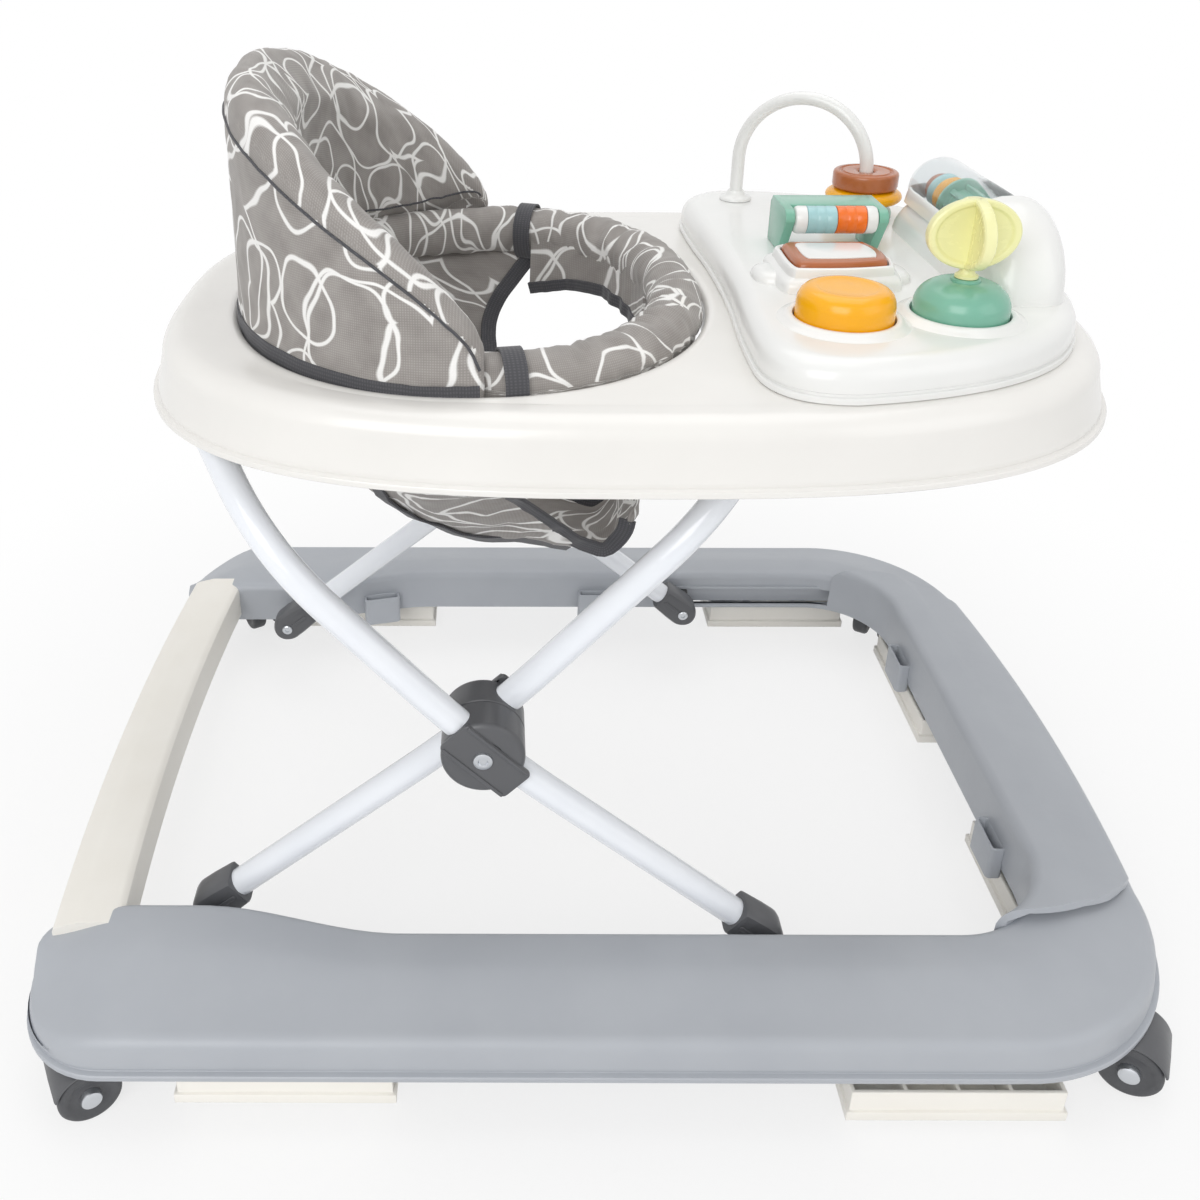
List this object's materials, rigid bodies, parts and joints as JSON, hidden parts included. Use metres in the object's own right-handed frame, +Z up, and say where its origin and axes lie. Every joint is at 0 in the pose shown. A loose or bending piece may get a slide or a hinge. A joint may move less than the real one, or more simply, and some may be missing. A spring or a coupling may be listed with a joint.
{
  "type": "baby walker",
  "caption": "Folding baby walker: grey U-shaped rolling base, crossed white tubes, white oval tray with a hung fabric seat and a toy tray.",
  "frame": {"origin": "on the floor under the middle of the base", "axes": "+X to the front with the toy tray, +Y to the far side, +Z up"},
  "size_m": [0.736, 0.5756, 0.585],
  "materials": {
    "grey_plastic": "satin moulded",
    "ivory_plastic": "satin moulded",
    "dark_plastic": "satin moulded",
    "wheel_plastic": "fine-grained hard wheel",
    "coated_tube": "gloss powder coat",
    "steel_trim": "turned",
    "warm_white_gloss": "gloss moulded",
    "cool_white_gloss": "gloss moulded",
    "seat_fabric": "padded woven cloth",
    "yellow_plastic": "gloss moulded",
    "green_plastic": "gloss moulded",
    "brown_plastic": "gloss moulded",
    "orange_plastic": "gloss moulded",
    "blue_plastic": "gloss moulded",
    "lemon_plastic": "gloss moulded",
    "clear_plastic": "clear smoky"
  },
  "bodies": {
    "base": {"base_shell": "grey_plastic", "rear_bar": "ivory_plastic"},
    "stopper_near_rear": {"stopper_near_rear": "ivory_plastic"},
    "stopper_near_front": {"stopper_near_front": "ivory_plastic"},
    "stopper_far_rear": {"stopper_far_rear": "ivory_plastic"},
    "stopper_far_front": {"stopper_far_front": "ivory_plastic"},
    "stopper_front_near": {"stopper_front_near": "ivory_plastic"},
    "stopper_front_far": {"stopper_front_far": "ivory_plastic"},
    "caster_rear_near": {"caster_housing_rear_near": "dark_plastic"},
    "wheels_rear_near": {"caster_axle_rear_near": "steel_trim", "caster_wheel_rear_near_a": "wheel_plastic", "caster_wheel_rear_near_b": "wheel_plastic"},
    "caster_rear_far": {"caster_housing_rear_far": "dark_plastic"},
    "wheels_rear_far": {"caster_axle_rear_far": "steel_trim", "caster_wheel_rear_far_a": "wheel_plastic", "caster_wheel_rear_far_b": "wheel_plastic"},
    "caster_front_near": {"caster_housing_front_near": "dark_plastic"},
    "wheels_front_near": {"caster_axle_front_near": "steel_trim", "caster_wheel_front_near_a": "wheel_plastic", "caster_wheel_front_near_b": "wheel_plastic"},
    "caster_front_far": {"caster_housing_front_far": "dark_plastic"},
    "wheels_front_far": {"caster_axle_front_far": "steel_trim", "caster_wheel_front_far_a": "wheel_plastic", "caster_wheel_front_far_b": "wheel_plastic"},
    "frame_b": {"frame_tube_inner": "coated_tube", "hub_cover_inner_near": "dark_plastic", "hub_bolt_near": "steel_trim", "foot_rear_near": "dark_plastic", "hub_cover_inner_far": "dark_plastic", "hub_bolt_far": "steel_trim", "foot_rear_far": "dark_plastic"},
    "frame_a": {"frame_tube_outer": "coated_tube", "hub_cover_outer_near": "dark_plastic", "foot_front_near": "dark_plastic", "hub_cover_outer_far": "dark_plastic", "foot_front_far": "dark_plastic"},
    "tray": {"main_tray": "warm_white_gloss", "bar_bearing_near": "dark_plastic", "bar_bearing_far": "dark_plastic", "slide_track_near": "dark_plastic", "slide_track_far": "dark_plastic", "seat_backrest": "seat_fabric", "seat_ring_pad": "seat_fabric", "seat_sling": "seat_fabric"},
    "toy_tray": {"toy_tray_shell": "cool_white_gloss", "propeller_dome": "green_plastic", "toy_arch": "cool_white_gloss", "ring_seat": "green_plastic", "roller_flap": "green_plastic", "drum_window": "clear_plastic"},
    "button": {"push_button": "yellow_plastic"},
    "spinner": {"propeller": "lemon_plastic"},
    "ring": {"loose_ring": "yellow_plastic"},
    "disc": {"loose_disc": "brown_plastic"},
    "key": {"rocker_key": "brown_plastic"},
    "roller": {"roller_core": "cool_white_gloss", "roller_band_blue": "blue_plastic", "roller_band_orange": "orange_plastic"},
    "spool": {"drum_spool": "green_plastic"}
  },
  "joints": [
    {"name": "stopper_slide_near_rear", "type": "slide", "parent": "base", "child": "stopper_near_rear", "axis": [0, 0, 1], "range_m": [-0.014, 0]},
    {"name": "stopper_slide_near_front", "type": "slide", "parent": "base", "child": "stopper_near_front", "axis": [0, 0, 1], "range_m": [0, 0.014]},
    {"name": "stopper_slide_far_rear", "type": "slide", "parent": "base", "child": "stopper_far_rear", "axis": [0, 0, 1], "range_m": [0, 0.014]},
    {"name": "stopper_slide_far_front", "type": "slide", "parent": "base", "child": "stopper_far_front", "axis": [0, 0, 1], "range_m": [0, 0.014]},
    {"name": "stopper_slide_front_near", "type": "slide", "parent": "base", "child": "stopper_front_near", "axis": [0, 0, 1], "range_m": [0, 0.014]},
    {"name": "stopper_slide_front_far", "type": "slide", "parent": "base", "child": "stopper_front_far", "axis": [0, 0, 1], "range_m": [0, 0.014]},
    {"name": "swivel_rear_near", "type": "hinge", "parent": "base", "child": "caster_rear_near", "pos_m": [-0.312, -0.256, 0.05], "axis": [0, 0, 1], "continuous": true},
    {"name": "roll_rear_near", "type": "hinge", "parent": "caster_rear_near", "child": "wheels_rear_near", "pos_m": [-0.32586, -0.264, 0.019], "axis": [0.5, -0.866, 0], "continuous": true},
    {"name": "swivel_rear_far", "type": "hinge", "parent": "base", "child": "caster_rear_far", "pos_m": [-0.312, 0.256, 0.05], "axis": [0, 0, 1], "continuous": true},
    {"name": "roll_rear_far", "type": "hinge", "parent": "caster_rear_far", "child": "wheels_rear_far", "pos_m": [-0.304, 0.24214, 0.019], "axis": [0.866, 0.5, 0], "continuous": true},
    {"name": "swivel_front_near", "type": "hinge", "parent": "base", "child": "caster_front_near", "pos_m": [0.306, -0.238, 0.05], "axis": [0, 0, 1], "continuous": true},
    {"name": "roll_front_near", "type": "hinge", "parent": "caster_front_near", "child": "wheels_front_near", "pos_m": [0.31986, -0.246, 0.019], "axis": [0.5, 0.866, 0], "continuous": true},
    {"name": "swivel_front_far", "type": "hinge", "parent": "base", "child": "caster_front_far", "pos_m": [0.306, 0.238, 0.05], "axis": [0, 0, 1], "continuous": true},
    {"name": "roll_front_far", "type": "hinge", "parent": "caster_front_far", "child": "wheels_front_far", "pos_m": [0.298, 0.22414, 0.019], "axis": [0.866, -0.5, 0], "continuous": true},
    {"name": "fold", "type": "hinge", "parent": "base", "child": "frame_b", "pos_m": [-0.265, 0, 0.054], "axis": [0, 1, 0], "range_deg": [0, 24]},
    {"name": "hub", "type": "hinge", "parent": "frame_b", "child": "frame_a", "pos_m": [-0.083, 0, 0.204], "axis": [0, 1, 0], "range_deg": [-48, 0]},
    {"name": "tray_level", "type": "hinge", "parent": "frame_a", "child": "tray", "pos_m": [-0.261, 0, 0.404], "axis": [0, 1, 0], "range_deg": [0, 24]},
    {"name": "toy_tray_lift", "type": "slide", "parent": "tray", "child": "toy_tray", "axis": [0, 0, 1], "range_m": [0, 0.04]},
    {"name": "button_press", "type": "slide", "parent": "toy_tray", "child": "button", "axis": [0, 0, -1], "range_m": [0, 0.004], "stiffness_N_per_m": 400},
    {"name": "key_press", "type": "slide", "parent": "toy_tray", "child": "key", "axis": [0, 0, -1], "range_m": [0, 0.003], "stiffness_N_per_m": 400},
    {"name": "spinner_turn", "type": "hinge", "parent": "toy_tray", "child": "spinner", "pos_m": [0.189, -0.113, 0.5], "axis": [0, 0, 1], "continuous": true},
    {"name": "ring_turn", "type": "hinge", "parent": "toy_tray", "child": "ring", "pos_m": [0.192, 0.101, 0.47], "axis": [0, 0, 1], "continuous": true},
    {"name": "disc_turn", "type": "hinge", "parent": "toy_tray", "child": "disc", "pos_m": [0.192, 0.101, 0.482], "axis": [0, 0, 1], "continuous": true},
    {"name": "roller_turn", "type": "hinge", "parent": "toy_tray", "child": "roller", "pos_m": [0.145, 0.004, 0.478], "axis": [1, 0, 0], "continuous": true},
    {"name": "spool_turn", "type": "hinge", "parent": "toy_tray", "child": "spool", "pos_m": [0.236, 0.013, 0.482], "axis": [0, 1, 0], "continuous": true}
  ],
  "couplings": [
    {"joint": "hub", "follows": "fold", "ratio": -2},
    {"joint": "tray_level", "follows": "fold", "ratio": 1}
  ]
}
